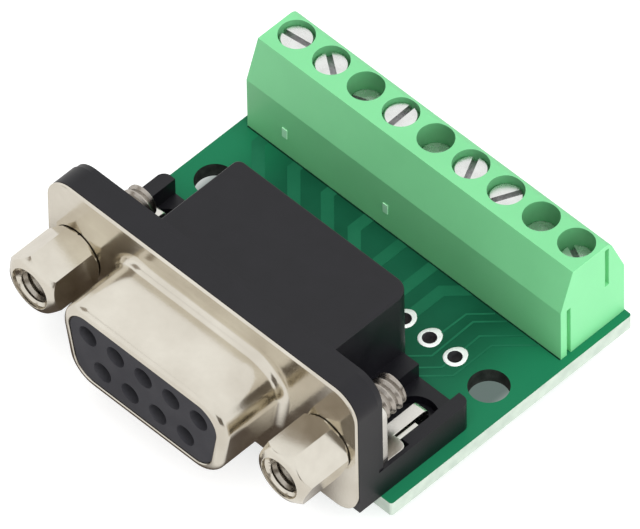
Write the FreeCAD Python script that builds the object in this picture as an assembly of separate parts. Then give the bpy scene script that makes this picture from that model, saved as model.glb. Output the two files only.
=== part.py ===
import FreeCAD, Part
import math
import os

# D-sub to screw terminal adapter board, in millimetres.
# The origin is on the surface that the solder pins stand on, at the centre of the outline.
# +Z is up from the board, and the D-sub faces -Y. Heights named "rise" are above the board's top.

# Circuit board
board_width = 32.9
board_depth = 24.4
board_thickness = 1.3
board_corner_radius = 0.25
board_gap = 0.1
pin_length_below_board = 2.0
mounting_hole_diameter = 3.1
mounting_hole_spacing = 27.54
mounting_hole_setback = 14.98
header_hole_count = 9
header_pitch = 2.54
header_setback = 15.2
header_drill = 1.15
header_ring_diameter = 1.72
plating_thickness = 0.05
pin_hole_clearance = 0.15

# D-sub connector, set back from the front face of its flange
contact_pitch = 2.77
contact_row_spacing = 2.84
upper_row_count = 5
lower_row_count = 4
upper_row_tail_setback = 10.92
lower_row_tail_setback = 8.08
contact_axis_rise = 5.8
board_setback = 2.4
flange_width = 30.8
flange_height = 12.5
flange_corner_radius = 2.2
shell_thickness = 0.3
hood_width = 16.33
hood_height = 7.9
hood_depth = 5.9
hood_side_angle = 10.0
hood_corner_radius = 2.6
hood_root_radius = 0.8
hood_nose_radius = 0.7
hood_lip_inset = 0.8
hood_lip_depth = 0.8
insulator_recess = 0.12
insulator_clearance = 0.04
insulator_depth_behind_flange = 2.0
contact_funnel_diameter = 1.75
contact_funnel_depth = 0.7
contact_sleeve_diameter = 1.5
contact_bore = 1.1
contact_sleeve_recess = 1.2
contact_tail_width = 0.64
contact_channel_clearance = 0.12

# Black housing behind the flange
backing_depth = 2.5
backing_lip_depth = 0.5
backing_lip_inset = 0.1
block_width = 17.4
block_rise = 8.7
block_setback = 12.5
block_left_corner_radius = 0.6
block_right_corner_radius = 1.4
block_edge_radius = 0.15
foot_setback = 11.5
foot_side_inset = 0.0
foot_floor_rise = 1.1
foot_inner_wall_width = 1.55
foot_inner_wall_rise = 2.5
foot_outer_wall_width = 1.15
foot_outer_wall_rise = 2.7
foot_corner_radius = 0.7
pocket_width = 3.6
pocket_rear_wall = 1.0
pocket_floor_rise = 0.3

# Brackets between the housing and the board
bracket_thickness = 0.75
bracket_outer_span = 2.55
bracket_inner_clearance = 0.1
bracket_top_above_axis = 2.4
bracket_base_depth = 2.7
bracket_corner_radius = 0.6
bracket_tab_width = 1.1
bracket_tab_offset = 0.65
bracket_tab_setback = 9.0
bracket_prong_width = 0.4
bracket_prong_gap = 0.15
bracket_prong_setback = 7.45
bracket_leg_clearance = 0.3

# Jackscrews
jackscrew_spacing = 25.0
jackscrew_across_flats = 4.6
jackscrew_head_length = 4.75
jackscrew_left_angle = -19.0
jackscrew_right_angle = 10.0
jackscrew_chamfer = 0.5
jackscrew_base_chamfer = 0.35
jackscrew_washer_step = 0.15
jackscrew_thread_diameter = 2.84
jackscrew_thread_depth = 4.2
jackscrew_mouth_diameter = 3.5
jackscrew_mouth_depth = 0.3
jackscrew_shank_setback = 6.9
jackscrew_clearance = 0.08

# Screw terminal block
terminal_count = 9
terminal_pitch = 3.5
terminal_end_wall = 1.75
terminal_setback = 20.27
terminal_depth = 6.47
terminal_rise = 8.6
terminal_crease_rise = 5.06
terminal_top_start = 1.25
terminal_top_end = 5.05
terminal_bevel_rise = 5.0
terminal_rear_radius = 0.8
terminal_screw_offset = 3.42
well_diameter = 2.78
chamber_width = 2.7
chamber_depth = 3.1
chamber_rise = 4.65
wire_hole_width = 2.5
wire_hole_bottom_rise = 0.8
wire_hole_top_rise = 3.6
wire_funnel_depth = 0.45
wire_funnel_margin = 0.22
pip_width = 0.5
pip_height = 0.95
pip_thickness = 0.08
pip_rise = 2.3
pip_cells = (-3.4, -0.5)
end_groove_depth = 0.35

# Clamping parts in each terminal
cage_width = 2.6
cage_depth = 3.0
cage_bottom_rise = 0.3
cage_side_thickness = 0.3
cage_floor_thickness = 0.5
cage_top_thickness = 0.75
cage_pin_width = 0.9
cage_pin_thickness = 0.5
screw_thread_diameter = 2.0
screw_thread_clearance = 0.05
screw_head_diameter = 2.64
screw_head_height = 1.2
screw_head_chamfer = 0.15
screw_shank_length = 3.3
screw_slot_width = 0.46
screw_slot_depth = 0.62
screw_depths = (0.45, 0.5, 1.75, 0.4, 1.9, 0.55, 0.7, 1.95, 1.7)
screw_slot_angles = (7, -35, 20, -88, 35, -64, 65, 44, -25)
plate_width = 1.8
plate_depth = 2.3
plate_thickness = 0.35

# Solder under the board
solder_radius = 0.85
solder_height = 0.75
solder_tip_radius = 0.5

# Places worked out from the sizes above
board_bottom = pin_length_below_board
board_top = board_bottom + board_thickness
axis_z = board_top + contact_axis_rise
overall_depth = hood_depth + board_setback + board_depth
flange_front = hood_depth - overall_depth / 2
flange_back = flange_front + shell_thickness
backing_back = flange_back + backing_depth
board_front = flange_front + board_setback
board_back = board_front + board_depth
jackscrew_x = jackscrew_spacing / 2
terminal_front = flange_front + terminal_setback
terminal_back = terminal_front + terminal_depth
terminal_half_width = (terminal_count - 1) / 2 * terminal_pitch + terminal_end_wall
terminal_screw_y = terminal_front + terminal_screw_offset
terminal_top = board_top + terminal_rise
plug_inset = shell_thickness + insulator_clearance
foot_half_width = flange_width / 2 - foot_side_inset

UP = FreeCAD.Vector(0, 0, 1)
REARWARD = FreeCAD.Vector(0, 1, 0)
FORWARD = FreeCAD.Vector(0, -1, 0)


def block(x0, x1, y0, y1, z0, z1):
    return Part.makeBox(x1 - x0, y1 - y0, z1 - z0, FreeCAD.Vector(x0, y0, z0))


def rod(x, y, z, radius, length, direction):
    return Part.makeCylinder(radius, length, FreeCAD.Vector(x, y, z), direction)


def prism(points, sweep):
    """A prism from a closed outline of points, swept along a vector."""
    corners = [FreeCAD.Vector(*p) for p in points]
    return Part.Face(Part.makePolygon(corners + corners[:1])).extrude(sweep)


def turned(profile, origin, direction):
    """A turned solid: profile points are (radius, distance along the axis)."""
    points = [FreeCAD.Vector(r, 0, h) for r, h in profile]
    face = Part.Face(Part.makePolygon(points + points[:1]))
    solid = face.revolve(FreeCAD.Vector(0, 0, 0), UP, 360)
    turn = FreeCAD.Rotation(UP, direction)
    solid.Placement = FreeCAD.Placement(FreeCAD.Vector(*origin), turn)
    return solid


def edges_along(shape, direction, keep=lambda centre: True):
    """The straight edges that run along a direction and whose centres are kept."""
    found = []
    for edge in shape.Edges:
        if not isinstance(edge.Curve, Part.Line):
            continue
        along = edge.Vertexes[-1].Point - edge.Vertexes[0].Point
        if along.cross(direction).Length < 1e-6 and keep(edge.CenterOfMass):
            found.append(edge)
    return found


def mirrored(shape):
    return shape.mirror(FreeCAD.Vector(0, 0, 0), FreeCAD.Vector(1, 0, 0))


def rounded_flange(width, height, radius, y0, y1):
    """A plate across the D-sub's axis with its four corners rounded."""
    plate = block(-width / 2, width / 2, y0, y1, axis_z - height / 2, axis_z + height / 2)
    return plate.makeFillet(radius, edges_along(plate, REARWARD))


def d_prism(inset, y0, y1):
    """The D outline of the hood, moved in by inset, as a solid from y0 to y1."""
    slope = math.tan(math.radians(hood_side_angle))
    secant = 1 / math.cos(math.radians(hood_side_angle))
    half_height = hood_height / 2
    corner_gain = hood_corner_radius * (secant + slope - 1)
    top_half_width = hood_width / 2 + corner_gain

    def half_width(z):
        return top_half_width - (half_height - z) * slope - inset * secant

    top = half_height - inset
    outline = [
        (-half_width(top), y0, axis_z + top),
        (half_width(top), y0, axis_z + top),
        (half_width(-top), y0, axis_z - top),
        (-half_width(-top), y0, axis_z - top),
    ]
    solid = prism(outline, FreeCAD.Vector(0, y1 - y0, 0))
    return solid.makeFillet(hood_corner_radius - inset, edges_along(solid, REARWARD))


def contact_places():
    """Each contact's x, height and tail y, upper row first."""
    rows = (
        (upper_row_count, axis_z + contact_row_spacing / 2, upper_row_tail_setback),
        (lower_row_count, axis_z - contact_row_spacing / 2, lower_row_tail_setback),
    )
    places = []
    for count, z, setback in rows:
        for i in range(count):
            x = (i - (count - 1) / 2) * contact_pitch
            places.append((x, z, flange_front + setback))
    return places


def terminal_places():
    half = (terminal_count - 1) / 2
    return [(i - half) * terminal_pitch for i in range(terminal_count)]


def header_places():
    half = (header_hole_count - 1) / 2
    return [(i - half) * header_pitch for i in range(header_hole_count)]


def bracket_leg_place():
    """Centre x and the rear y of the right bracket's leg."""
    return jackscrew_x + bracket_tab_offset, flange_front + bracket_tab_setback


def circuit_board():
    board = block(
        -board_width / 2, board_width / 2, board_front, board_back, board_bottom, board_top
    )
    board = board.makeFillet(board_corner_radius, edges_along(board, UP))
    holes = []

    def drill(x, y, diameter):
        holes.append(rod(x, y, board_bottom - 1, diameter / 2, board_thickness + 2, UP))

    for side in (-1, 1):
        drill(
            side * mounting_hole_spacing / 2,
            flange_front + mounting_hole_setback,
            mounting_hole_diameter,
        )
        leg_x, leg_back = bracket_leg_place()
        leg_y = leg_back - bracket_thickness / 2
        leg_diagonal = math.hypot(bracket_tab_width, bracket_thickness)
        drill(side * leg_x, leg_y, leg_diagonal + 2 * pin_hole_clearance)
    for x in header_places():
        drill(x, flange_front + header_setback, header_drill)
    for x, _, tail_y in contact_places():
        drill(x, tail_y, contact_tail_width * math.sqrt(2) + 2 * pin_hole_clearance)
    for x in terminal_places():
        pin_diagonal = math.hypot(cage_pin_width, cage_pin_thickness)
        drill(x, terminal_screw_y, pin_diagonal + 2 * pin_hole_clearance)
    return board.cut(holes)


def plated_holes():
    """The plated barrels of the header holes, each with a ring on both faces."""
    barrel = header_drill / 2
    bore = barrel - plating_thickness
    ring = header_ring_diameter / 2
    length = board_thickness
    profile = [
        (bore, -plating_thickness),
        (ring, -plating_thickness),
        (ring, 0),
        (barrel, 0),
        (barrel, length),
        (ring, length),
        (ring, length + plating_thickness),
        (bore, length + plating_thickness),
    ]
    y = flange_front + header_setback
    return Part.makeCompound([turned(profile, (x, y, board_bottom), UP) for x in header_places()])


def dsub_shell():
    """The pressed metal flange with its hood, whose rounded nose turns in round the opening."""
    plate = rounded_flange(
        flange_width, flange_height, flange_corner_radius, flange_front, flange_back
    )
    hood = d_prism(0, flange_front - hood_depth, flange_back)
    shell = plate.fuse(hood).removeSplitter()
    reach = hood_width / 2 + 1
    root_edges = [
        edge
        for edge in shell.Edges
        if all(abs(v.Point.y - flange_front) < 1e-6 for v in edge.Vertexes)
        and abs(edge.CenterOfMass.x) < reach
        and abs(edge.CenterOfMass.z - axis_z) < hood_height / 2 + 0.1
        and abs(edge.CenterOfMass.y - flange_front) < 1e-6
    ]
    shell = shell.makeFillet(hood_root_radius, root_edges)
    front = flange_front - hood_depth
    nose_edges = [
        edge for edge in shell.Edges if all(abs(v.Point.y - front) < 1e-6 for v in edge.Vertexes)
    ]
    shell = shell.makeFillet(hood_nose_radius, nose_edges)
    shell = shell.cut(d_prism(hood_lip_inset, front - 1, flange_back + 1))
    shell = shell.cut(d_prism(shell_thickness, front + hood_lip_depth, flange_back + 1))
    hole_radius = jackscrew_thread_diameter / 2 + jackscrew_clearance
    for side in (-1, 1):
        shell = shell.cut(
            rod(side * jackscrew_x, flange_front - 1, axis_z, hole_radius, 3, REARWARD)
        )
    return shell


def dsub_insulator():
    """The D-shaped plug that holds the contacts, with a funnel at each contact."""
    front = flange_front - hood_depth + insulator_recess
    back = flange_front + insulator_depth_behind_flange
    lip_back = flange_front - hood_depth + hood_lip_depth + insulator_clearance
    plug = d_prism(hood_lip_inset + insulator_clearance, front, back)
    plug = plug.fuse(d_prism(plug_inset, lip_back, back)).removeSplitter()
    funnel = contact_funnel_diameter / 2
    bore = contact_sleeve_diameter / 2 + insulator_clearance
    profile = [
        (0, -1),
        (funnel, -1),
        (funnel, 0),
        (bore, contact_funnel_depth),
        (bore, back - front + 1),
        (0, back - front + 1),
    ]
    return plug.cut([turned(profile, (x, front, z), REARWARD) for x, z, _ in contact_places()])


def contact_tail(x, z, tail_y, start_y, end_z, margin):
    """A square tail that runs back, bends down at tail_y and ends at end_z."""
    half = contact_tail_width / 2 + margin
    run = block(x - half, x + half, start_y, tail_y + half, z - half, z + half)
    drop = block(x - half, x + half, tail_y - half, tail_y + half, end_z, z + half)
    bent = run.fuse(drop).removeSplitter()
    outer = edges_along(
        bent,
        FreeCAD.Vector(1, 0, 0),
        lambda c: abs(c.y - tail_y - half) < 1e-6 and abs(c.z - z - half) < 1e-6,
    )
    return bent.makeFillet(contact_tail_width * 0.9, outer)


def socket_contact(x, z, tail_y):
    """A turned sleeve with its square tail, down through the board."""
    front = flange_front - hood_depth + insulator_recess + contact_sleeve_recess
    back = flange_front + insulator_depth_behind_flange
    outer = contact_sleeve_diameter / 2
    bore = contact_bore / 2
    bore_end = back - front - 1.5
    profile = [
        (bore, 0),
        (outer, 0),
        (outer, back - front),
        (0, back - front),
        (0, bore_end),
        (bore, bore_end),
    ]
    sleeve = turned(profile, (x, front, z), REARWARD)
    return sleeve.fuse(contact_tail(x, z, tail_y, back, 0, 0)).removeSplitter()


def right_foot():
    """One foot of the housing: a floor with raised walls beside a pocket that is round behind."""
    inner = block_width / 2 - 1
    outer = foot_half_width
    back = flange_front + foot_setback
    foot = block(inner, outer, flange_back, back, board_top, board_top + foot_floor_rise)
    wall_x = block_width / 2 + foot_inner_wall_width
    foot = foot.fuse(
        block(inner, wall_x, flange_back, back, board_top, board_top + foot_inner_wall_rise)
    )
    foot = foot.fuse(
        block(
            outer - foot_outer_wall_width,
            outer,
            flange_back,
            back,
            board_top,
            board_top + foot_outer_wall_rise,
        )
    )
    foot = foot.removeSplitter()
    rear_corner = edges_along(
        foot, UP, lambda c: abs(c.x - outer) < 1e-6 and abs(c.y - back) < 1e-6
    )
    foot = foot.makeFillet(foot_corner_radius, rear_corner)
    pocket_radius = pocket_width / 2
    pocket_back = back - pocket_rear_wall
    floor = board_top + pocket_floor_rise
    pocket = rod(jackscrew_x, pocket_back - pocket_radius, floor, pocket_radius, block_rise, UP)
    pocket = pocket.fuse(
        block(
            jackscrew_x - pocket_radius,
            jackscrew_x + pocket_radius,
            backing_back,
            pocket_back - pocket_radius,
            floor,
            floor + block_rise,
        )
    )
    seat_z = board_top + foot_outer_wall_rise - bracket_thickness
    seat = block(
        wall_x,
        jackscrew_x + bracket_outer_span,
        backing_back,
        backing_back + bracket_base_depth + bracket_prong_gap,
        seat_z,
        seat_z + block_rise,
    )
    leg_x, leg_back = bracket_leg_place()
    leg_way = block(
        leg_x - bracket_tab_width / 2 - bracket_leg_clearance,
        leg_x + bracket_tab_width / 2 + bracket_leg_clearance,
        leg_back - bracket_thickness - bracket_leg_clearance,
        leg_back + bracket_leg_clearance,
        board_top - 1,
        floor + 1,
    )
    return foot.cut([pocket, seat, leg_way])


def dsub_housing():
    """The black moulding: flange backing, rear block over the tails, and two feet."""
    lip_front = backing_back - backing_lip_depth
    backing = rounded_flange(
        flange_width, flange_height, flange_corner_radius, flange_back, lip_front
    )
    lip = rounded_flange(
        flange_width - 2 * backing_lip_inset,
        flange_height - 2 * backing_lip_inset,
        flange_corner_radius - backing_lip_inset,
        lip_front,
        backing_back,
    )
    rear = flange_front + block_setback
    body = block(
        -block_width / 2, block_width / 2, flange_back, rear, board_top, board_top + block_rise
    )
    for radius, side in ((block_left_corner_radius, -1), (block_right_corner_radius, 1)):
        body = body.makeFillet(
            radius, edges_along(body, UP, lambda c: abs(c.y - rear) < 1e-6 and c.x * side > 1)
        )
    top = board_top + block_rise
    rim = [
        edge
        for edge in body.Edges
        if all(abs(v.Point.z - top) < 1e-6 for v in edge.Vertexes)
        and edge.CenterOfMass.y > flange_back + 1e-6
    ]
    body = body.makeFillet(block_edge_radius, rim)
    foot = right_foot()
    housing = backing.fuse([lip, body, foot, mirrored(foot)]).removeSplitter()
    cuts = [d_prism(plug_inset - insulator_clearance, flange_back - 1,
                    flange_front + insulator_depth_behind_flange)]
    cuts.append(
        block(
            -flange_width,
            flange_width,
            board_front - board_gap,
            backing_back + 1,
            axis_z - flange_height,
            board_top,
        )
    )
    hole_radius = jackscrew_thread_diameter / 2 + jackscrew_clearance
    for side in (-1, 1):
        cuts.append(
            rod(side * jackscrew_x, flange_back - 1, axis_z, hole_radius, backing_depth + 2, REARWARD)
        )
    start = flange_front + insulator_depth_behind_flange - 0.5
    for x, z, tail_y in contact_places():
        cuts.append(contact_tail(x, z, tail_y, start, board_top - 1, contact_channel_clearance))
    return housing.cut(cuts)


def bracket_right():
    """A bent sheet bracket: an upright with the jackscrew's thread, a base and two rear prongs."""
    thick = bracket_thickness
    left = block_width / 2 + foot_inner_wall_width + bracket_inner_clearance
    right = jackscrew_x + bracket_outer_span
    base_top = board_top + foot_outer_wall_rise
    base_bottom = base_top - thick
    upright_top = axis_z + bracket_top_above_axis
    front = backing_back
    upright = block(left, right, front, front + thick, base_bottom, upright_top)
    upright = upright.makeFillet(
        bracket_corner_radius, edges_along(upright, REARWARD, lambda c: c.z > axis_z)
    )
    base = block(left, right, front, front + bracket_base_depth, base_bottom, base_top)
    base = base.makeFillet(
        bracket_corner_radius, edges_along(base, UP, lambda c: c.y > front + thick)
    )
    leg_x, leg_back = bracket_leg_place()
    tab_right = leg_x + bracket_tab_width / 2
    tab = block(
        leg_x - bracket_tab_width / 2, tab_right, front + thick, leg_back, base_bottom, base_top
    )
    leg = block(leg_x - bracket_tab_width / 2, tab_right, leg_back - thick, leg_back, 0, base_top)
    prong_left = tab_right + bracket_prong_gap
    prong = block(
        prong_left,
        prong_left + bracket_prong_width,
        front + thick,
        flange_front + bracket_prong_setback,
        base_bottom,
        base_top - 0.1,
    )
    bracket = upright.fuse([base, tab, leg, prong]).removeSplitter()
    bend = edges_along(
        bracket,
        FreeCAD.Vector(1, 0, 0),
        lambda c: abs(c.y - leg_back) < 1e-6 and abs(c.z - base_top) < 1e-6,
    )
    bracket = bracket.makeFillet(thick * 0.8, bend)
    heel = edges_along(
        bracket,
        FreeCAD.Vector(1, 0, 0),
        lambda c: abs(c.y - front) < 1e-6 and abs(c.z - base_bottom) < 1e-6,
    )
    bracket = bracket.makeFillet(thick * 0.6, heel)
    thread = rod(
        jackscrew_x, front - 1, axis_z, jackscrew_thread_diameter / 2, thick + 2, REARWARD
    )
    return bracket.cut(thread)


def jackscrew(x, vertex_angle):
    """A hexagonal standoff with a threaded mouth in front and a threaded shank behind."""
    radius = jackscrew_across_flats / 2 / math.cos(math.radians(30))
    front = flange_front - jackscrew_head_length
    corners = []
    for i in range(6):
        angle = math.radians(vertex_angle + 60 * i)
        corners.append((x + radius * math.cos(angle), front, axis_z + radius * math.sin(angle)))
    head = prism(corners, FreeCAD.Vector(0, jackscrew_head_length, 0))
    length = jackscrew_head_length
    flat = jackscrew_across_flats / 2
    washer = flat - jackscrew_washer_step
    chamfer_end = length - jackscrew_washer_step
    chamfer_start = chamfer_end - jackscrew_base_chamfer
    dome = turned(
        [(0, 0), (flat - jackscrew_chamfer, 0), (flat - jackscrew_chamfer * 0.15, jackscrew_chamfer * 0.4),
         (radius + 0.05, jackscrew_chamfer * 1.5), (radius + 0.05, chamfer_start),
         (flat, chamfer_end), (washer, chamfer_end), (washer, length), (0, length)],
        (x, front, axis_z),
        REARWARD,
    )
    head = head.common(dome)
    thread = jackscrew_thread_diameter / 2
    shank_length = jackscrew_shank_setback
    tip = 0.3
    shank = turned(
        [(0, 0), (thread, 0), (thread, shank_length - tip), (thread - tip, shank_length),
         (0, shank_length)],
        (x, flange_front, axis_z),
        REARWARD,
    )
    mouth = jackscrew_mouth_diameter / 2
    bore = turned(
        [(0, -1), (mouth, -1), (mouth, jackscrew_mouth_depth),
         (thread, jackscrew_mouth_depth + mouth - thread), (thread, jackscrew_thread_depth),
         (0, jackscrew_thread_depth + thread * 0.5)],
        (x, front, axis_z),
        REARWARD,
    )
    return head.fuse(shank).cut(bore).removeSplitter()


def terminal_outline(x):
    """The terminal housing's side outline at one x, as a face across the block."""
    crease_z = board_top + terminal_crease_rise
    bevel_z = board_top + terminal_bevel_rise
    top_front = terminal_front + terminal_top_start
    top_back = terminal_front + terminal_top_end
    foot_front = FreeCAD.Vector(x, terminal_front, board_top)
    crease = FreeCAD.Vector(x, terminal_front, crease_z)
    front_edge = FreeCAD.Vector(x, top_front, terminal_top)
    back_edge = FreeCAD.Vector(x, top_back, terminal_top)
    bevel = FreeCAD.Vector(x, terminal_back, bevel_z)
    foot_back = FreeCAD.Vector(x, terminal_back, board_top)
    edges = [
        Part.LineSegment(foot_front, crease).toShape(),
        Part.LineSegment(crease, front_edge).toShape(),
        Part.LineSegment(front_edge, back_edge).toShape(),
        Part.LineSegment(back_edge, bevel).toShape(),
        Part.LineSegment(bevel, foot_back).toShape(),
        Part.LineSegment(foot_back, foot_front).toShape(),
    ]
    return Part.Face(Part.Wire(edges))


def terminal_housing():
    """The green moulding with a screw well, a chamber and a wire hole for each terminal."""
    width = 2 * terminal_half_width
    body = terminal_outline(-terminal_half_width).extrude(FreeCAD.Vector(width, 0, 0))
    rear_edges = edges_along(
        body,
        FreeCAD.Vector(1, 0, 0),
        lambda c: c.z > board_top + 1 and c.y > terminal_front + terminal_top_end - 0.1,
    )
    body = body.makeFillet(terminal_rear_radius, rear_edges)
    cuts = []
    for x in terminal_places():
        chamber_top = board_top + chamber_rise
        cuts.append(
            rod(x, terminal_screw_y, chamber_top - 0.1, well_diameter / 2, terminal_rise, UP)
        )
        cuts.append(
            block(
                x - chamber_width / 2,
                x + chamber_width / 2,
                terminal_screw_y - chamber_depth / 2,
                terminal_screw_y + chamber_depth / 2,
                board_top - 1,
                chamber_top,
            )
        )
        cuts.append(
            block(
                x - wire_hole_width / 2,
                x + wire_hole_width / 2,
                terminal_screw_y,
                terminal_back + 1,
                board_top + wire_hole_bottom_rise,
                board_top + wire_hole_top_rise,
            )
        )
        cuts.append(
            block(
                x - wire_hole_width / 2 - wire_funnel_margin,
                x + wire_hole_width / 2 + wire_funnel_margin,
                terminal_back - wire_funnel_depth,
                terminal_back + 1,
                board_top + wire_hole_bottom_rise - wire_funnel_margin,
                board_top + wire_hole_top_rise + wire_funnel_margin,
            )
        )
    groove_y = terminal_front + terminal_top_end - 0.55
    slot_y = terminal_front + 0.6
    for side in (-1, 1):
        face_x = side * terminal_half_width
        near, far = sorted((face_x - side * end_groove_depth, face_x + side))
        cuts.append(
            block(near, far, groove_y, groove_y + 0.4, terminal_top - 4.4, terminal_top - 0.45)
        )
        cuts.append(block(near, far, slot_y, slot_y + 0.4, board_top - 1, board_top + 4.9))
    body = body.cut(cuts)
    pips = []
    for cell in pip_cells:
        x = cell * terminal_pitch
        pips.append(
            block(
                x - pip_width / 2,
                x + pip_width / 2,
                terminal_front - pip_thickness,
                terminal_front + 0.2,
                board_top + pip_rise - pip_height / 2,
                board_top + pip_rise + pip_height / 2,
            )
        )
    return body.fuse(pips).removeSplitter()


def terminal_cage(x):
    """A folded cage, open to the wire, with a threaded top and a solder pin."""
    half = cage_width / 2
    y0 = terminal_screw_y - cage_depth / 2
    y1 = terminal_screw_y + cage_depth / 2
    bottom = board_top + cage_bottom_rise
    top = board_top + chamber_rise
    tube = block(x - half, x + half, y0, y1, bottom, top)
    tube = tube.makeFillet(0.3, edges_along(tube, REARWARD))
    tunnel = block(
        x - half + cage_side_thickness,
        x + half - cage_side_thickness,
        y0 - 1,
        y1 + 1,
        bottom + cage_floor_thickness,
        top - cage_top_thickness,
    )
    pin = block(
        x - cage_pin_width / 2,
        x + cage_pin_width / 2,
        terminal_screw_y - cage_pin_thickness / 2,
        terminal_screw_y + cage_pin_thickness / 2,
        0,
        bottom + cage_floor_thickness / 2,
    )
    thread = rod(
        x, terminal_screw_y, top - cage_top_thickness - 0.5, screw_thread_diameter / 2, 3, UP
    )
    return tube.fuse(pin).cut([tunnel, thread]).removeSplitter()


def terminal_screw(x, depth, slot_angle):
    """A slotted screw whose head lies at depth under the rim of its well."""
    head_top = terminal_top - depth
    head = screw_head_diameter / 2
    shank = screw_thread_diameter / 2 - screw_thread_clearance
    length = screw_head_height + screw_shank_length
    tip = 0.25
    profile = [
        (0, 0),
        (shank - tip, 0),
        (shank, tip),
        (shank, screw_shank_length),
        (head, screw_shank_length),
        (head, length - screw_head_chamfer),
        (head - screw_head_chamfer, length),
        (0, length),
    ]
    screw = turned(profile, (x, terminal_screw_y, head_top - length), UP)
    slot = block(-head - 1, head + 1, -screw_slot_width / 2, screw_slot_width / 2, 0, 2)
    turn = FreeCAD.Rotation(UP, slot_angle)
    place = FreeCAD.Vector(x, terminal_screw_y, head_top - screw_slot_depth)
    slot.Placement = FreeCAD.Placement(place, turn)
    return screw.cut(slot)


def wire_plate(x, depth):
    """The plate under a screw's tip, which presses on the wire."""
    top = terminal_top - depth - screw_head_height - screw_shank_length
    plate = block(
        x - plate_width / 2,
        x + plate_width / 2,
        terminal_screw_y - plate_depth / 2,
        terminal_screw_y + plate_depth / 2,
        top - plate_thickness,
        top,
    )
    return plate.makeFillet(0.12, edges_along(plate, UP))


def solder_joints():
    """Cones of solder under the board, round every pin that comes through it."""
    joints = []

    def joint(x, y, pin_x, pin_y):
        reach = solder_radius + math.hypot(pin_x, pin_y) / 4
        tip = solder_tip_radius + math.hypot(pin_x, pin_y) / 4
        profile = [(0, 0), (reach, 0), (tip, -solder_height), (0, -solder_height)]
        cone = turned(profile, (x, y, board_bottom), UP)
        pin = block(
            x - pin_x / 2, x + pin_x / 2, y - pin_y / 2, y + pin_y / 2, 0, board_bottom + 1
        )
        joints.append(cone.cut(pin))

    for x, _, tail_y in contact_places():
        joint(x, tail_y, contact_tail_width, contact_tail_width)
    for x in terminal_places():
        joint(x, terminal_screw_y, cage_pin_width, cage_pin_thickness)
    leg_x, leg_back = bracket_leg_place()
    for side in (-1, 1):
        joint(side * leg_x, leg_back - bracket_thickness / 2, bracket_tab_width, bracket_thickness)
    return Part.makeCompound(joints)


def all_parts():
    parts = {
        "circuit_board": circuit_board(),
        "plated_holes": plated_holes(),
        "dsub_shell": dsub_shell(),
        "dsub_insulator": dsub_insulator(),
        "dsub_housing": dsub_housing(),
        "jackscrew_left": jackscrew(-jackscrew_x, jackscrew_left_angle),
        "jackscrew_right": jackscrew(jackscrew_x, jackscrew_right_angle),
        "terminal_housing": terminal_housing(),
        "solder_joints": solder_joints(),
    }
    bracket = bracket_right()
    parts["bracket_right"] = bracket
    parts["bracket_left"] = mirrored(bracket)
    for number, (x, z, tail_y) in enumerate(contact_places(), 1):
        parts[f"socket_contact_{number}"] = socket_contact(x, z, tail_y)
    screws = zip(terminal_places(), screw_depths, screw_slot_angles)
    for number, (x, depth, angle) in enumerate(screws, 1):
        parts[f"terminal_cage_{number}"] = terminal_cage(x)
        parts[f"terminal_screw_{number}"] = terminal_screw(x, depth, angle)
        parts[f"wire_plate_{number}"] = wire_plate(x, depth)
    return parts


os.makedirs("parts", exist_ok=True)
for name, shape in all_parts().items():
    shape.exportStep(f"parts/{name}.step")
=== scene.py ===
import math

import bmesh
import bpy
from mathutils import Matrix, Vector


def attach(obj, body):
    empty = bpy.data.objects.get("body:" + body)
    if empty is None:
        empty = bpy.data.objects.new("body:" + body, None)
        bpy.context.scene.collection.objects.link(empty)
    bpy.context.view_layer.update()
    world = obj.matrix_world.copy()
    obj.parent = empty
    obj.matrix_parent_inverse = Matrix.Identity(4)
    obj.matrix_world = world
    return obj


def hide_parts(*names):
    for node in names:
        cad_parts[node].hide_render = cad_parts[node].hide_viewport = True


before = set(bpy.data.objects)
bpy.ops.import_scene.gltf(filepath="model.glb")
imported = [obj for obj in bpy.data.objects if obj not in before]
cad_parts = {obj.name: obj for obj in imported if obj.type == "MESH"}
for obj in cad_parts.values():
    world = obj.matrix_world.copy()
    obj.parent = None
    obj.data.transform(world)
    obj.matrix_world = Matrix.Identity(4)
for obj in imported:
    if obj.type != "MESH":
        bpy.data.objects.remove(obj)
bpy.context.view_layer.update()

MM = 0.001

# Places and sizes shared with the solids, in millimetres
FLANGE_FRONT = -10.45
CONNECTOR_AXIS_Z = 9.1
BOARD_BOTTOM = 2.0
BOARD_TOP = 3.3
JACKSCREW_X = 12.5
JACKSCREW_FRONT = FLANGE_FRONT - 4.75
JACKSCREW_BACK = FLANGE_FRONT + 6.9
SEAT_FRONT = FLANGE_FRONT - 0.15
BRACKET_BACK = FLANGE_FRONT + 3.55
THREAD_MAJOR_RADIUS = 1.42
THREAD_PITCH = 0.635
MOUNTING_HOLE_X = 13.77
MOUNTING_HOLE_Y = FLANGE_FRONT + 14.98
WAYS = 9
HEADER_Y = FLANGE_FRONT + 15.2
HEADER_PITCH = 2.54
HEADER_XS = [(i - WAYS // 2) * HEADER_PITCH for i in range(WAYS)]
TERMINAL_PITCH = 3.5
TERMINAL_XS = [(i - WAYS // 2) * TERMINAL_PITCH for i in range(WAYS)]
TERMINAL_FRONT = FLANGE_FRONT + 20.27
SCREW_Y = TERMINAL_FRONT + 3.42
WELL_RADIUS = 1.38

# How a face lies, by the height of its normal
LEVEL = 0.9
UPRIGHT = 0.1

# How deep the tracks and the slit are sunk, so that no gap shows under them, in millimetres
SUNK = 0.01

# How the copies of the solids are joined up, in millimetres and degrees
WELD_GAP = 0.0005
FLAT_TURN = 0.6

# Steps to a thread's turn, its welds, and the sides and chamfer of the bar inside it
THREAD_STEPS = 28
THREAD_WELD = 0.0008
CORE_SIDES = 48
CORE_CHAMFER = 0.2

# How high the grain stands, and how far off the dark panels are, in metres
GRAIN_HEIGHT = 0.00002
FLAG_DISTANCE = 0.3

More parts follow.
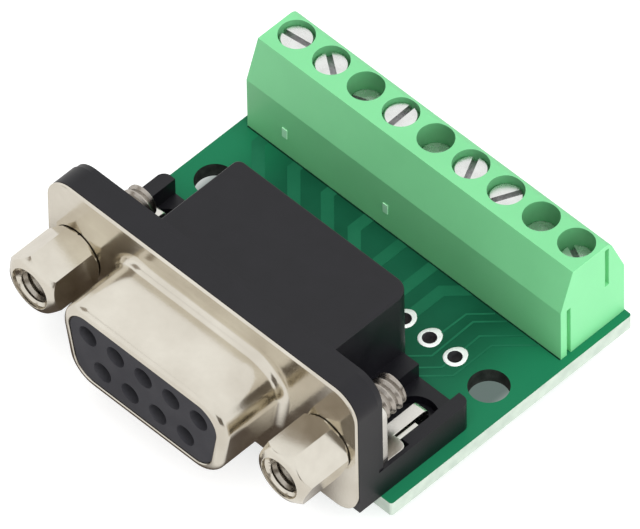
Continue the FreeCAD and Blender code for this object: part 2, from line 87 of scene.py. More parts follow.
# The photograph's width in pixels, and the camera's sensor in millimetres
FRAME_WIDTH = 640
SENSOR_WIDTH = 36


def add_node(tree, kind, inputs=None, **settings):
    """A shader node with its settings, and the values of the sockets that nothing feeds."""
    node = tree.nodes.new("ShaderNode" + kind)
    for setting, value in settings.items():
        setattr(node, setting, value)
    for label, value in (inputs or {}).items():
        node.inputs[label].default_value = value
    return node


def new_group(name, sockets_in, sockets_out):
    """An empty group of nodes with its sockets, and the nodes at its two ends."""
    group = bpy.data.node_groups.new(name, "ShaderNodeTree")
    for label, kind, value in sockets_in:
        socket = group.interface.new_socket(label, in_out="INPUT", socket_type=kind)
        socket.default_value = value
    for label, kind in sockets_out:
        group.interface.new_socket(label, in_out="OUTPUT", socket_type=kind)
    return group, group.nodes.new("NodeGroupInput"), group.nodes.new("NodeGroupOutput")


def make_mottle_group():
    """Two tones that drift into each other over a few millimetres."""
    group, entry, leave = new_group(
        "Mottled tone",
        (
            ("Tone A", "NodeSocketColor", (0.5, 0.5, 0.5, 1)),
            ("Tone B", "NodeSocketColor", (0.6, 0.6, 0.6, 1)),
            ("Scale", "NodeSocketFloat", 300.0),
        ),
        (("Color", "NodeSocketColor"), ("Mask", "NodeSocketFloat")),
    )
    place = add_node(group, "TexCoord")
    noise = add_node(group, "TexNoise", {"Detail": 4})
    ramp = add_node(group, "MapRange", {"From Min": 0.32, "From Max": 0.68})
    mix = add_node(group, "Mix", data_type="RGBA")
    link = group.links.new
    link(place.outputs["Object"], noise.inputs["Vector"])
    link(entry.outputs["Scale"], noise.inputs["Scale"])
    link(noise.outputs["Fac"], ramp.inputs["Value"])
    link(ramp.outputs["Result"], mix.inputs["Factor"])
    link(entry.outputs["Tone A"], mix.inputs["A"])
    link(entry.outputs["Tone B"], mix.inputs["B"])
    link(mix.outputs["Result"], leave.inputs["Color"])
    link(ramp.outputs["Result"], leave.inputs["Mask"])
    return group


def make_grain_group():
    """The fine raised grain of a moulded or plated surface, as a normal."""
    group, entry, leave = new_group(
        "Surface grain",
        (
            ("Fine scale", "NodeSocketFloat", 9000.0),
            ("Coarse scale", "NodeSocketFloat", 900.0),
            ("Depth", "NodeSocketFloat", 0.1),
        ),
        (("Normal", "NodeSocketVector"),),
    )
    place = add_node(group, "TexCoord")
    both = add_node(group, "Math", operation="ADD")
    bump = add_node(group, "Bump", {"Distance": GRAIN_HEIGHT})
    link = group.links.new
    for i, scale in enumerate(("Fine scale", "Coarse scale")):
        noise = add_node(group, "TexNoise", {"Detail": 2})
        link(place.outputs["Object"], noise.inputs["Vector"])
        link(entry.outputs[scale], noise.inputs["Scale"])
        link(noise.outputs["Fac"], both.inputs[i])
    link(both.outputs["Value"], bump.inputs["Height"])
    link(entry.outputs["Depth"], bump.inputs["Strength"])
    link(bump.outputs["Normal"], leave.inputs["Normal"])
    return group


MOTTLE = make_mottle_group()
GRAIN = make_grain_group()


def rgba(colour):
    return (*colour, 1.0)


def finish_material(name, tone_a, tone_b, scale, rough, grain, metallic=0.0, rough_spread=0.0,
                    specular=0.5, subsurface=0.0):
    """A mottled, grained finish. Its grain is a fine scale, a coarse scale and a depth."""
    material = bpy.data.materials.new(name)
    material.use_nodes = True
    tree = material.node_tree
    link = tree.links.new
    shader = tree.nodes["Principled BSDF"]
    shader.inputs["Metallic"].default_value = metallic
    shader.inputs["Roughness"].default_value = rough
    shader.inputs["Specular IOR Level"].default_value = specular
    if subsurface:
        shader.inputs["Subsurface Weight"].default_value = subsurface
        shader.inputs["Subsurface Radius"].default_value = (0.5, 1.0, 0.6)
        shader.inputs["Subsurface Scale"].default_value = 0.0006
    tones = add_node(tree, "Group", node_tree=MOTTLE,
                     inputs={"Tone A": rgba(tone_a), "Tone B": rgba(tone_b), "Scale": scale})
    link(tones.outputs["Color"], shader.inputs["Base Color"])
    if rough_spread:
        spread = add_node(tree, "MapRange", {"To Min": rough, "To Max": rough + rough_spread})
        link(tones.outputs["Mask"], spread.inputs["Value"])
        link(spread.outputs["Result"], shader.inputs["Roughness"])
    fine, coarse, depth = grain
    grained = add_node(tree, "Group", node_tree=GRAIN,
                       inputs={"Fine scale": fine, "Coarse scale": coarse, "Depth": depth})
    link(grained.outputs["Normal"], shader.inputs["Normal"])
    return material


def brighten_sides(material, tone, inner, outer):
    """Turns a finish to a brighter tone towards both ends of x."""
    tree = material.node_tree
    link = tree.links.new
    base = tree.nodes["Principled BSDF"].inputs["Base Color"]
    plain = base.links[0].from_socket
    place = add_node(tree, "TexCoord")
    split = add_node(tree, "SeparateXYZ")
    reach = add_node(tree, "Math", operation="ABSOLUTE")
    fade = add_node(tree, "MapRange", {"From Min": inner, "From Max": outer},
                    interpolation_type="SMOOTHSTEP")
    blend = add_node(tree, "Mix", {"B": rgba(tone)}, data_type="RGBA")
    link(place.outputs["Object"], split.inputs["Vector"])
    link(split.outputs["X"], reach.inputs[0])
    link(reach.outputs["Value"], fade.inputs["Value"])
    link(fade.outputs["Result"], blend.inputs["Factor"])
    link(plain, blend.inputs["A"])
    link(blend.outputs["Result"], base)


# Finishes: two tones in linear light, the scale of the mottle, the roughness and the grain
SOLDER_MASK = finish_material(
    "Green solder mask", (0.004, 0.064, 0.031), (0.008, 0.093, 0.048),
    scale=160, rough=0.42, grain=(7000, 700, 0.15), specular=0.12)
brighten_sides(SOLDER_MASK, (0.012, 0.17, 0.078), inner=0.009, outer=0.0155)
MASK_OVER_COPPER = finish_material(
    "Solder mask over copper", (0.01, 0.114, 0.057), (0.015, 0.144, 0.073),
    scale=260, rough=0.4, grain=(7000, 900, 0.15), specular=0.12)
LAMINATE = finish_material(
    "Pale glass laminate", (0.42, 0.5, 0.43), (0.52, 0.6, 0.52),
    scale=900, rough=0.6, grain=(9000, 2500, 0.5))
# Painted shade: the walls of the two mounting holes, darkened as in shade
HOLE_WALL_SHADE = finish_material(
    "Painted shade on a hole's wall", (0.008, 0.012, 0.01), (0.022, 0.028, 0.024),
    scale=1500, rough=0.7, grain=(9000, 2500, 0.5), specular=0.2)
HOUSING_BLACK = finish_material(
    "Black moulding", (0.0036, 0.0034, 0.0052), (0.0058, 0.0055, 0.0078),
    scale=500, rough=0.36, rough_spread=0.06, grain=(16000, 2500, 0.2), specular=0.38)
INSULATOR_GREY = finish_material(
    "Dark grey insulator", (0.044, 0.0435, 0.05), (0.053, 0.0525, 0.059),
    scale=600, rough=0.5, grain=(14000, 2200, 0.25), specular=0.12)
NICKEL = finish_material(
    "Nickel plated sheet", (0.66, 0.615, 0.53), (0.78, 0.74, 0.65),
    scale=260, rough=0.13, rough_spread=0.08, metallic=1.0, grain=(5200, 420, 0.16))
NICKEL_TURNED = finish_material(
    "Nickel plated screw", (0.68, 0.635, 0.55), (0.78, 0.74, 0.65),
    scale=420, rough=0.14, rough_spread=0.08, metallic=1.0, grain=(6200, 700, 0.12))
ROLLED_THREAD = finish_material(
    "Rolled thread", (0.42, 0.385, 0.345), (0.54, 0.5, 0.45),
    scale=900, rough=0.24, rough_spread=0.1, metallic=1.0, grain=(6200, 700, 0.25))
CUT_THREAD = finish_material(
    "Cut thread", (0.4, 0.37, 0.32), (0.56, 0.52, 0.46),
    scale=900, rough=0.22, rough_spread=0.1, metallic=1.0, grain=(6200, 700, 0.2))
# Painted shade: the seam between a jackscrew's head and the flange
SEAT_SHADE = finish_material(
    "Painted shade at a screw's seat", (0.035, 0.03, 0.025), (0.07, 0.06, 0.05),
    scale=900, rough=0.6, grain=(6200, 700, 0.2), specular=0.1)
BRACKET_PLATE = finish_material(
    "Plated bracket", (0.72, 0.7, 0.65), (0.82, 0.8, 0.75),
    scale=420, rough=0.22, rough_spread=0.1, metallic=1.0, grain=(6200, 700, 0.2))
RING_TIN = finish_material(
    "Matt tin", (0.78, 0.8, 0.79), (0.9, 0.91, 0.9),
    scale=1200, rough=0.45, metallic=0.25, grain=(5000, 1500, 0.4))
# Painted shade: the tinned barrels of the header holes, darkened as in shade
BARREL_SHADE = finish_material(
    "Painted shade in a plated barrel", (0.05, 0.05, 0.055), (0.12, 0.12, 0.13),
    scale=1800, rough=0.5, metallic=0.6, grain=(5000, 1500, 0.4))
SOLDER = finish_material(
    "Solder", (0.7, 0.71, 0.72), (0.8, 0.81, 0.81),
    scale=1200, rough=0.22, metallic=1.0, grain=(5000, 1200, 0.5))
GOLD_FLASH = finish_material(
    "Gold flash", (0.3, 0.22, 0.1), (0.4, 0.3, 0.15),
    scale=900, rough=0.3, metallic=1.0, grain=(6000, 1500, 0.2))
TERMINAL_GREEN = finish_material(
    "Light green moulding", (0.195, 0.61, 0.28), (0.21, 0.645, 0.3),
    scale=220, rough=0.42, rough_spread=0.05, grain=(15000, 1500, 0.12), subsurface=0.06)
GATE_GREEN = finish_material(
    "Pale moulding gate", (0.44, 0.84, 0.54), (0.5, 0.88, 0.6),
    scale=900, rough=0.35, grain=(15000, 1500, 0.12))
# Painted shade: a dark strip on the board for the slit under the moulding
SLIT_SHADE = finish_material(
    "Painted shade of the slit under the moulding", (0.004, 0.026, 0.013), (0.006, 0.036, 0.018),
    scale=900, rough=0.8, grain=(6200, 700, 0.2), specular=0.1)
# Painted shade: a darker copy of the green moulding for the walls of the screw wells
WELL_SHADE_GREEN = finish_material(
    "Painted shade on the green moulding in a well", (0.1, 0.36, 0.155), (0.12, 0.4, 0.175),
    scale=220, rough=0.5, grain=(15000, 1500, 0.12))
SCREW_STEEL = finish_material(
    "Bright screw steel", (0.74, 0.75, 0.73), (0.86, 0.87, 0.85),
    scale=1400, rough=0.22, rough_spread=0.1, metallic=1.0, grain=(7000, 1800, 0.3))
# Painted shade: a darker copy of the screw steel for the floors and walls of the slots
SLOT_SHADE_STEEL = finish_material(
    "Painted shade in a screw's slot", (0.3, 0.29, 0.31), (0.52, 0.5, 0.52),
    scale=2400, rough=0.4, rough_spread=0.1, metallic=1.0, grain=(7000, 1800, 0.4))
CAGE_STEEL = finish_material(
    "Plated cage", (0.62, 0.6, 0.56), (0.7, 0.68, 0.64),
    scale=900, rough=0.3, metallic=1.0, grain=(6000, 1200, 0.25))


def resize(bm, factor):
    bmesh.ops.scale(bm, vec=(factor, factor, factor), verts=bm.verts)


def soften(bm, sharp_degrees):
    """Smooth shading, with the edges that turn more than sharp_degrees kept crisp."""
    limit = math.radians(sharp_degrees)
    for face in bm.faces:
        face.smooth = True
    for edge in bm.edges:
        edge.smooth = len(edge.link_faces) == 2 and edge.calc_face_angle(0) < limit


def link_mesh(name, bm, materials):
    """Turns a mesh in metres into an object of the scene."""
    mesh = bpy.data.meshes.new(name)
    bm.to_mesh(mesh)
    bm.free()
    for material in materials:
        mesh.materials.append(material)
    made = bpy.data.objects.new(name, mesh)
    bpy.context.scene.collection.objects.link(made)
    return made


def make_piece(name, bm, materials, body="adapter", replaces=(), sharp=38, flat_faces=True):
    """Turns a mesh in millimetres into a piece in metres that rides on a body."""
    resize(bm, MM)
    soften(bm, sharp)
    piece = link_mesh(name, bm, materials)
    if flat_faces:
        shading = piece.modifiers.new("Flat faces stay flat", "WEIGHTED_NORMAL")
        shading.keep_sharp = True
    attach(piece, body)
    if replaces:
        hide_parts(*replaces)


def solid_copy(node):
    """A welded copy of a CAD node in millimetres, with its flat faces joined up."""
    bm = bmesh.new()
    bm.from_mesh(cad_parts[node].data)
    resize(bm, 1 / MM)
    bmesh.ops.remove_doubles(bm, verts=bm.verts, dist=WELD_GAP)
    bmesh.ops.dissolve_limit(bm, angle_limit=math.radians(FLAT_TURN), use_dissolve_boundaries=False,
                             verts=bm.verts, edges=bm.edges, delimit={"NORMAL"})
    return bm


def bevel_edges(bm, edges, width, segments=2):
    bmesh.ops.bevel(bm, geom=list(edges), offset=width, offset_type="OFFSET", affect="EDGES",
                    segments=segments, profile=0.5, material=-1, clamp_overlap=True)


def crisp_edges(bm, degrees, keep=lambda edge: True):
    """The edges that turn more than some degrees, of those that keep lets through."""
    limit = math.radians(degrees)
    return [e for e in bm.edges
            if len(e.link_faces) == 2 and e.calc_face_angle(0) > limit and keep(e)]


def middle(edge):
    return (edge.verts[0].co + edge.verts[1].co) / 2


def pull_out(bm, faces, vec):
    """Extrudes faces along a vector, and gives the vertices that moved."""
    grown = bmesh.ops.extrude_face_region(bm, geom=faces)
    far = [v for v in grown["geom"] if isinstance(v, bmesh.types.BMVert)]
    bmesh.ops.translate(bm, vec=vec, verts=far)
    return far


def bridge(bm, ring_a, ring_b):
    """Joins two rings of vertices by a band, and gives its faces."""
    loops = [e for ring in (ring_a, ring_b) for e in bm.edges if all(v in ring for v in e.verts)]
    return bmesh.ops.bridge_loops(bm, edges=loops)["faces"]


def helix(x, y_start, y_end, root_radius, crest_radius):
    """The skin of a jackscrew's thread along +Y, cut square at both ends."""
    bm = bmesh.new()
    profile = ((0.0, root_radius), (0.12, root_radius), (0.42, crest_radius),
               (0.58, crest_radius), (0.88, root_radius), (1.0, root_radius))
    first = y_start - THREAD_PITCH
    verts = [bm.verts.new((x + radius, first + share * THREAD_PITCH, CONNECTOR_AXIS_Z))
             for share, radius in profile]
    edges = [bm.edges.new(pair) for pair in zip(verts, verts[1:])]
    turns = math.ceil((y_end - y_start) / THREAD_PITCH) + 1
    bmesh.ops.spin(bm, geom=verts + edges, cent=(x, 0, CONNECTOR_AXIS_Z), axis=(0, 1, 0),
                   dvec=(0, THREAD_PITCH / THREAD_STEPS, 0), angle=2 * math.pi * turns,
                   steps=THREAD_STEPS * turns, use_merge=False)
    bmesh.ops.remove_doubles(bm, verts=bm.verts, dist=THREAD_WELD)
    for y, normal in ((y_start, -1), (y_end, 1)):
        bmesh.ops.bisect_plane(bm, geom=bm.verts[:] + bm.edges[:] + bm.faces[:], dist=0.00001,
                               plane_co=(0, y, 0), plane_no=(0, normal, 0), clear_outer=True)
    return bm


def add_core(bm, x, y_start, y_end, radius):
    """A closed round bar inside a jackscrew's thread, with a chamfered far end."""
    turn = Matrix.Rotation(math.radians(90), 4, "X")
    made = bmesh.ops.create_circle(
        bm, cap_ends=True, radius=radius, segments=CORE_SIDES,
        matrix=Matrix.Translation((x, y_start, CONNECTOR_AXIS_Z)) @ turn)
    far = pull_out(bm, [made["verts"][0].link_faces[0]], (0, y_end - y_start, 0))
    rim = [e for e in bm.edges if all(v in far for v in e.verts)]
    bevel_edges(bm, rim, CORE_CHAMFER, segments=1)


def dress_board():
    """The board with its mask on both faces, pale at its edges, with painted shade inside its two
    holes.
    """
    mounting_hole_reach = 2
    bm = solid_copy("circuit_board")
    for face in bm.faces:
        place = face.calc_center_median()
        from_hole = math.hypot(abs(place.x) - MOUNTING_HOLE_X, place.y - MOUNTING_HOLE_Y)
        masked = abs(face.normal.z) > LEVEL
        # The upright faces round a mounting hole get painted shade
        face.material_index = 0 if masked else 2 if from_hole < mounting_hole_reach else 1
    make_piece("circuit_board_masked", bm, (SOLDER_MASK, LAMINATE, HOLE_WALL_SHADE),
               replaces=("circuit_board",), sharp=30)


def ribbon(bm, points, width, low, high):
    """A flat strip of one width along a path on the board, mitred at its corners."""
    def aside(run):
        return Vector((-run.y, run.x, 0))

    sharpest_mitre = 0.5
    path = [Vector((x, y, 0)) for x, y in points]
    runs = [(end - start).normalized() for start, end in zip(path, path[1:])]
    rails = []
    for i, point in enumerate(path):
        before = runs[max(i - 1, 0)]
        after = runs[min(i, len(runs) - 1)]
        side = aside((before + after).normalized())
        reach = width / 2 / max(sharpest_mitre, side.dot(aside(after)))
        rails.append((point + side * reach, point - side * reach))
    rows = [[bm.verts.new((p.x, p.y, low)) for p in pair] for pair in rails]
    faces = [bm.faces.new((a[0], a[1], b[1], b[0])) for a, b in zip(rows, rows[1:])]
    pull_out(bm, faces, (0, 0, high - low))


# Where the tracks run: x, and the setback from the flange's front, in millimetres
TRACK_END = 23.0
WIDE_TRACKS = (
    ((-9.6, 15.2), (-14.0, 19.6), (-14.0, TRACK_END)),
    ((-6.2, 15.4), (-10.5, 19.7), (-10.5, TRACK_END)),
    ((-3.2, 15.8), (-7.05, 19.65), (-7.05, TRACK_END)),
    ((-1.2, 16.5), (-3.4, 18.7), (-3.4, TRACK_END)),
    ((0.0, 15.9), (0.0, TRACK_END)),
    ((3.1, 15.8), (3.1, 20.4), (3.5, 20.8), (3.5, TRACK_END)),
    ((5.15, 15.9), (5.15, 18.9), (7.0, 20.75), (7.0, TRACK_END)),
)
FINE_TRACKS = (
    ((7.2, 12.44), (8.9, 14.14), (8.8, 18.42), (10.5, 20.12)),
    ((8.6, 12.3), (10.15, 13.85), (10.15, 14.3)),
    ((10.1, 16.2), (10.05, 17.8), (12.3, 20.05)),
    ((9.5, 12.1), (11.28, 13.88), (11.28, 17.75), (13.8, 20.27)),
    ((7.9, 16.1), (7.95, 18.6), (9.4, 20.05)),
)


def dress_tracks():
    """The copper under the mask, fanning from the connector to the terminals."""
    bm = bmesh.new()
    for tracks, width, height in ((WIDE_TRACKS, 0.95, 0.022), (FINE_TRACKS, 0.15, 0.03)):
        for track in tracks:
            points = [(x, FLANGE_FRONT + setback) for x, setback in track]
            ribbon(bm, points, width, BOARD_TOP - SUNK, BOARD_TOP + height)
    make_piece("copper_traces", bm, (MASK_OVER_COPPER,))


def dress_header_holes():
    """Tinned rings, drawn out into a tear on the terminals' side of the top, with painted shade in
    their barrels.
    """
    mouth_radius, rim_radius, skirt_radius = 0.56, 0.8, 0.86
    bottom_ring = (BOARD_BOTTOM - 0.03, BOARD_BOTTOM - 0.001, 0.0)
    top_ring = (BOARD_TOP + 0.045, BOARD_TOP + 0.001, 0.22)
    tear_reach = 0.9
    bm = bmesh.new()

    def circle(x, z, radius):
        return bmesh.ops.create_circle(bm, cap_ends=False, radius=radius, segments=40,
                                       matrix=Matrix.Translation((x, HEADER_Y, z)))["verts"]

    for x in HEADER_XS:
        mouths = []
        for rim_z, skirt_z, tear in (bottom_ring, top_ring):
            mouth = circle(x, rim_z, mouth_radius)
            rim = circle(x, rim_z, rim_radius)
            skirt = circle(x, skirt_z, skirt_radius)
            for vert in rim + skirt:
                lean = max(0.0, (vert.co.y - HEADER_Y) / tear_reach)
                vert.co.y += tear * lean * lean
            bridge(bm, mouth, rim)
            bridge(bm, rim, skirt)
            mouths.append(mouth)
        # The barrel between the two mouths gets painted shade
        for face in bridge(bm, *mouths):
            face.material_index = 1
    bmesh.ops.recalc_face_normals(bm, faces=bm.faces)
    make_piece("plated_holes_tinned", bm, (RING_TIN, BARREL_SHADE),
               replaces=("plated_holes",))


def dress_with_rounded_edges(node, name, material, degrees, width):
    """A copy of a CAD node, with the edges that turn more than some degrees rounded."""
    bm = solid_copy(node)
    bevel_edges(bm, crisp_edges(bm, degrees), width)
    make_piece(name, bm, (material,), replaces=(node,), sharp=50)


def dress_jackscrew(node, x):
    """A hexagonal head, the rolled thread behind it and the cut thread in its mouth."""
    shank_reach, bore_reach = 1.6, 1.5
    shank_start = FLANGE_FRONT + 1.0
    head_back = FLANGE_FRONT - 0.2
    bore_start = JACKSCREW_FRONT + 0.32
    seat_sink, seat_slack = 0.08, 0.02
    seam_front, seam_back = FLANGE_FRONT - 0.075, FLANGE_FRONT + 0.1
    edge_turn, edge_width = 25, 0.09
    bm = solid_copy(node)

    def place(face):
        centre = face.calc_center_median()
        return centre.y, math.hypot(centre.x - x, centre.z - CONNECTOR_AXIS_Z)

    shank = []
    for face in bm.faces:
        y, radius = place(face)
        if y > shank_start and radius < shank_reach:
            shank.append(face)
    bmesh.ops.delete(bm, geom=shank, context="FACES")
    # The seat under the head is sunk until only a thin seam shows, and the seam gets painted shade
    seat = [v for v in bm.verts if abs(v.co.y - SEAT_FRONT) < seat_slack]
    bmesh.ops.translate(bm, vec=(0, seat_sink, 0), verts=seat)
    bevel_edges(bm, crisp_edges(bm, edge_turn, lambda e: middle(e).y < head_back), edge_width)
    for face in bm.faces:
        y, radius = place(face)
        if bore_start < y < head_back and radius < bore_reach:
            face.material_index = 1
        elif seam_front < y < seam_back and radius > shank_reach:
            face.material_index = 2
    make_piece(f"{node}_head", bm, (NICKEL_TURNED, CUT_THREAD, SEAT_SHADE),
               replaces=(node,), sharp=45)

    thread_start = BRACKET_BACK - 1.5
    thread = helix(x, thread_start, JACKSCREW_BACK - 0.22, root_radius=1.14,
                   crest_radius=THREAD_MAJOR_RADIUS - 0.005)
    add_core(thread, x, thread_start, JACKSCREW_BACK, 1.2)
    make_piece(f"{node}_thread", thread, (ROLLED_THREAD,), sharp=60,
               flat_faces=False)

    inner = helix(x, bore_start, JACKSCREW_FRONT + 4.1, root_radius=THREAD_MAJOR_RADIUS - 0.03,
                  crest_radius=1.16)
    bmesh.ops.reverse_faces(inner, faces=inner.faces)
    make_piece(f"{node}_inner_thread", inner, (CUT_THREAD,), sharp=60,
               flat_faces=False)


def dress_terminal_housing():
    """The moulding with painted shade in its wells and pale gate marks, and a strip of painted
    shade for the slit under it.
    """
    well_slack, well_floor, gate_height = 0.05, BOARD_TOP + 4, 0.02
    edge_turn, edge_width = 17, 0.07
    bm = solid_copy("terminal_housing")
    bevel_edges(bm, crisp_edges(bm, edge_turn), edge_width)
    for face in bm.faces:
        centre = face.calc_center_median()
        from_screw = min(math.hypot(centre.x - x, centre.y - SCREW_Y) for x in TERMINAL_XS)
        in_well = (abs(face.normal.z) < UPRIGHT and abs(from_screw - WELL_RADIUS) < well_slack
                   and centre.z > well_floor)
        on_gate = centre.y < TERMINAL_FRONT - gate_height
        face.material_index = 2 if on_gate else 1 if in_well else 0
    make_piece("terminal_housing_moulded", bm, (TERMINAL_GREEN, WELL_SHADE_GREEN, GATE_GREEN),
               replaces=("terminal_housing",), sharp=edge_turn)

    # A dark strip on the board along the moulding's foot, painted shade of the slit under it
    slit = bmesh.new()
    slit_y, slit_end = TERMINAL_FRONT - 0.05, 15.7
    ribbon(slit, ((-slit_end, slit_y), (slit_end, slit_y)), width=0.1, low=BOARD_TOP - SUNK,
           high=BOARD_TOP + 0.04)
    make_piece("terminal_seat_slit_shade", slit, (SLIT_SHADE,))


def dress_screw(number):
    """A screw with painted shade in its slot, and a tip that just clears its pressure plate."""
    tip_clearance, tip_slack = 0.02, 0.01
    slot_floor_low, slot_floor_high = 0.7, 0.5
    slot_wall_low, slot_wall_area = 0.6, 1.0
    node = f"terminal_screw_{number}"
    bm = solid_copy(node)
    top = max(v.co.z for v in bm.verts)
    bottom = min(v.co.z for v in bm.verts)
    tip = [v for v in bm.verts if v.co.z < bottom + tip_slack]
    bmesh.ops.translate(bm, vec=(0, 0, tip_clearance), verts=tip)
    for face in bm.faces:
        z = face.calc_center_median().z
        floor = face.normal.z > LEVEL and top - slot_floor_low < z < top - slot_floor_high
        wall = (abs(face.normal.z) < UPRIGHT and len(face.verts) == 4
                and face.calc_area() > slot_wall_area and z > top - slot_wall_low)
        if floor or wall:
            face.material_index = 1
    make_piece(f"{node}_turned", bm, (SCREW_STEEL, SLOT_SHADE_STEEL),
               body=f"screw_{number}", replaces=(node,), sharp=30)


def give(node, material):
    """Gives a CAD node that stays in sight its finish."""
    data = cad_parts[node].data
    data.materials.clear()
    data.materials.append(material)


def dress_small_nodes():
    give("dsub_insulator", INSULATOR_GREY)
    give("solder_joints", SOLDER)
    for i in range(1, WAYS + 1):
        give(f"socket_contact_{i}", GOLD_FLASH)
        give(f"terminal_cage_{i}", CAGE_STEEL)
        give(f"wire_plate_{i}", CAGE_STEEL)


def direction(azimuth, elevation):
    """The way from the part to a place round it. Azimuth 0 is its front, and 90 its right."""
    turn, rise = math.radians(azimuth), math.radians(elevation)
    return Vector((math.sin(turn) * math.cos(rise), -math.cos(turn) * math.cos(rise),
                   math.sin(rise)))


def bare_material(name):
    """A material with an output and nothing else."""
    material = bpy.data.materials.new(name)
    material.use_nodes = True
    tree = material.node_tree
    tree.nodes.clear()
    return material, tree, add_node(tree, "OutputMaterial")


def mix_shaders(tree, factor, first, second, out):
    """Leads a mix of two shaders to an output."""
    mix = add_node(tree, "MixShader")
    link = tree.links.new
    link(factor, mix.inputs["Fac"])
    link(first, mix.inputs[1])
    link(second, mix.inputs[2])
    link(mix.outputs["Shader"], out.inputs["Surface"])


def shade_paint(name, centre, solid_radius, clear_radius, colour, core=(0, 0, 0)):
    """A dark patch round a point or a core box that fades out at its rim, in metres."""
    material, tree, out = bare_material(name)
    link = tree.links.new
    spread = add_node(tree, "TexCoord").outputs["Object"]
    for step, value in (("SUBTRACT", centre), ("ABSOLUTE", (0, 0, 0)), ("SUBTRACT", core),
                        ("MAXIMUM", (0, 0, 0))):
        node = add_node(tree, "VectorMath", operation=step)
        node.inputs[1].default_value = value
        link(spread, node.inputs[0])
        spread = node.outputs["Vector"]
    length = add_node(tree, "VectorMath", operation="LENGTH")
    fade = add_node(tree, "MapRange", {"From Min": solid_radius, "From Max": clear_radius},
                    interpolation_type="SMOOTHSTEP")
    glow = add_node(tree, "Emission", {"Color": rgba(colour)})
    clear = add_node(tree, "BsdfTransparent")
    link(spread, length.inputs[0])
    link(length.outputs["Value"], fade.inputs["Value"])
    mix_shaders(tree, fade.outputs["Result"], glow.outputs["Emission"], clear.outputs["BSDF"], out)
    return material


def flag_paint(name, colour):
    """An even tone that no lamp changes."""
    material, tree, out = bare_material(name)
    glow = add_node(tree, "Emission", {"Color": rgba(colour)})
    tree.links.new(glow.outputs["Emission"], out.inputs["Surface"])
    return material


def floor_paint():
    """White to the camera and a shade under white in reflections, with the shadow kept."""
    material = bpy.data.materials.new("White floor")
    material.use_nodes = True
    tree = material.node_tree
    shader = tree.nodes["Principled BSDF"]
    for label, value in (("Base Color", (0.5, 0.5, 0.5, 1)), ("Roughness", 0.9),
                         ("Specular IOR Level", 0.0), ("Emission Color", (1, 1, 1, 1)),
                         ("Emission Strength", 0.7)):
        shader.inputs[label].default_value = value
    rays = add_node(tree, "LightPath")
    reflected = add_node(tree, "Emission", {"Color": (1, 0.985, 0.965, 1), "Strength": 0.92})
    mix_shaders(tree, rays.outputs["Is Glossy Ray"], shader.outputs["BSDF"],
                reflected.outputs["Emission"], tree.nodes["Material Output"])
    return material


def stage_plane(name, size, matrix, material):
    bm = bmesh.new()
    bmesh.ops.create_grid(bm, x_segments=1, y_segments=1, size=size / 2, matrix=matrix)
    plane = link_mesh(name, bm, (material,))
    return plane


def seen_only(piece, camera=False, glossy=False):
    """Leaves a helper panel to the camera's rays or to reflections alone."""
    piece.visible_camera = camera
    piece.visible_glossy = glossy
    piece.visible_diffuse = False
    piece.visible_transmission = False
    piece.visible_shadow = False


def stage_flag(name, azimuth, elevation, size, colour):
    """A dark panel that faces the part, seen only in its reflections."""
    toward = direction(azimuth, elevation)
    facing = toward.to_track_quat("Z", "Y").to_matrix().to_4x4()
    panel = stage_plane(name, size, Matrix.Translation(toward * FLAG_DISTANCE) @ facing,
                        flag_paint(name, colour))
    seen_only(panel, glossy=True)


def build_studio():
    """The floor, the soft patches on it, two dark panels and the white world."""
    stage_plane("floor", 3.0, Matrix(), floor_paint())

    # Brown patches on the floor, where the plating reflects something dark
    brown = (0.09, 0.07, 0.055)
    left = shade_paint("Shade, front left", (-0.006, -0.005, 0.0001),
                       solid_radius=0.0155, clear_radius=0.020, colour=brown)
    right = shade_paint("Shade, right", (0.004, 0.002, 0.0002),
                        solid_radius=0.0135, clear_radius=0.0175, colour=brown)
    for name, height, paint in (("shade_front_left", 0.0001, left), ("shade_right", 0.0002, right)):
        seen_only(stage_plane(name, 0.06, Matrix.Translation((0, 0, height)), paint), glossy=True)

    # A grey patch a little smaller than the board, for the floor seen through its holes
    centre = (-0.001, 0.0038, 0.0003)
    under = shade_paint("Shade under the board", centre, solid_radius=0, clear_radius=0.0024,
                        colour=(0.14, 0.185, 0.17), core=(0.014, 0.0088, 0.001))
    patch = stage_plane("shade_under_board", 0.036, Matrix.Translation(centre), under)
    seen_only(patch, camera=True)

    stage_flag("flag_front_right", azimuth=55, elevation=8, size=0.2, colour=(0.17, 0.15, 0.13))
    stage_flag("flag_front_left", azimuth=-60, elevation=35, size=0.14, colour=(0.36, 0.32, 0.28))

    # A world that is white to the camera, in reflections and through glass, and dimmer as light
    world = bpy.data.worlds.new("Soft studio")
    bpy.context.scene.world = world
    world.use_nodes = True
    tree = world.node_tree
    tree.nodes.clear()
    out = add_node(tree, "OutputWorld")
    rays = add_node(tree, "LightPath")
    seen = rays.outputs["Is Camera Ray"]
    for ray in ("Is Glossy Ray", "Is Transmission Ray"):
        either = add_node(tree, "Math", operation="MAXIMUM")
        tree.links.new(seen, either.inputs[0])
        tree.links.new(rays.outputs[ray], either.inputs[1])
        seen = either.outputs["Value"]
    plain = add_node(tree, "Background", {"Color": (0.98, 0.99, 1.0, 1), "Strength": 0.42})
    white = add_node(tree, "Background", {"Color": (1, 1, 1, 1), "Strength": 1.0})
    mix_shaders(tree, seen, plain.outputs["Background"], white.outputs["Background"], out)


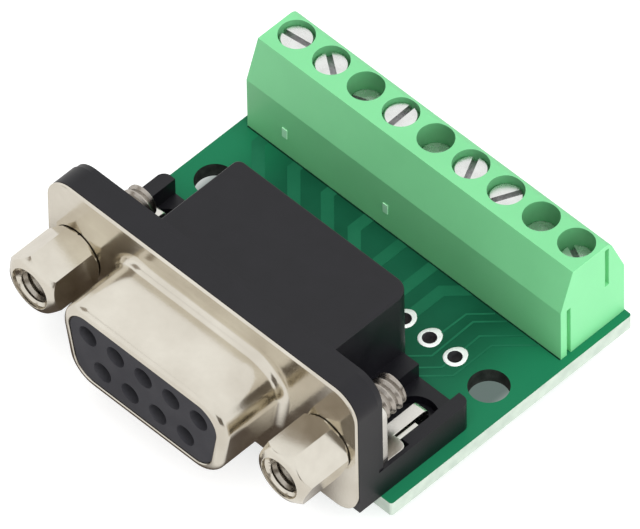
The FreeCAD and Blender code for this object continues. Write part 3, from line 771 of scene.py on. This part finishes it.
def add_sun(name, toward, strength, spread_degrees, colour):
    lamp = bpy.data.lights.new(name, "SUN")
    lamp.energy = strength
    lamp.angle = math.radians(spread_degrees)
    lamp.color = colour
    holder = bpy.data.objects.new(name, lamp)
    holder.visible_glossy = False
    holder.rotation_euler = Vector(toward).to_track_quat("Z", "Y").to_euler()
    bpy.context.scene.collection.objects.link(holder)


def place_camera():
    """A long lens from the front right, high up, set to the photograph's frame."""
    azimuth, elevation, roll = 45.72, 49.89, math.radians(-1.19)
    focal_pixels, distance = 18017, 1.281
    back = direction(azimuth, elevation)
    right = Vector((math.cos(math.radians(azimuth)), math.sin(math.radians(azimuth)), 0))
    up = back.cross(right)
    tilted_right = right * math.cos(roll) + up * math.sin(roll)
    tilted_up = up * math.cos(roll) - right * math.sin(roll)
    target = (Vector((0, -2.45, 6.1)) + right * 2.788 + up * 3.264) * MM
    lens = bpy.data.cameras.new("camera")
    lens.sensor_fit = "HORIZONTAL"
    lens.sensor_width = SENSOR_WIDTH
    lens.lens = focal_pixels * SENSOR_WIDTH / FRAME_WIDTH
    lens.clip_end = 10
    camera = bpy.data.objects.new("camera", lens)
    axes = Matrix((tilted_right, tilted_up, back)).transposed().to_4x4()
    camera.matrix_world = Matrix.Translation(target + back * distance) @ axes
    bpy.context.scene.collection.objects.link(camera)
    bpy.context.scene.camera = camera


dress_board()
dress_tracks()
dress_header_holes()
dress_with_rounded_edges("dsub_shell", "dsub_shell_pressed", NICKEL,
                         degrees=40, width=0.1)
dress_with_rounded_edges("dsub_housing", "dsub_housing_moulded", HOUSING_BLACK,
                         degrees=35, width=0.07)
dress_jackscrew("jackscrew_left", -JACKSCREW_X)
dress_jackscrew("jackscrew_right", JACKSCREW_X)
for bracket in ("bracket_left", "bracket_right"):
    dress_with_rounded_edges(bracket, f"{bracket}_plated", BRACKET_PLATE,
                             degrees=40, width=0.06)
dress_terminal_housing()
for screw_number in range(1, WAYS + 1):
    dress_screw(screw_number)
dress_small_nodes()
build_studio()
add_sun("overhead", (0.42, -0.2, 1.0), strength=2.6, spread_degrees=60, colour=(1.0, 0.995, 0.985))
add_sun("right side", (1.0, 0.05, 0.35), strength=1.15, spread_degrees=40, colour=(1.0, 1.0, 1.0))
place_camera()
bpy.context.scene.view_settings.view_transform = "Standard"
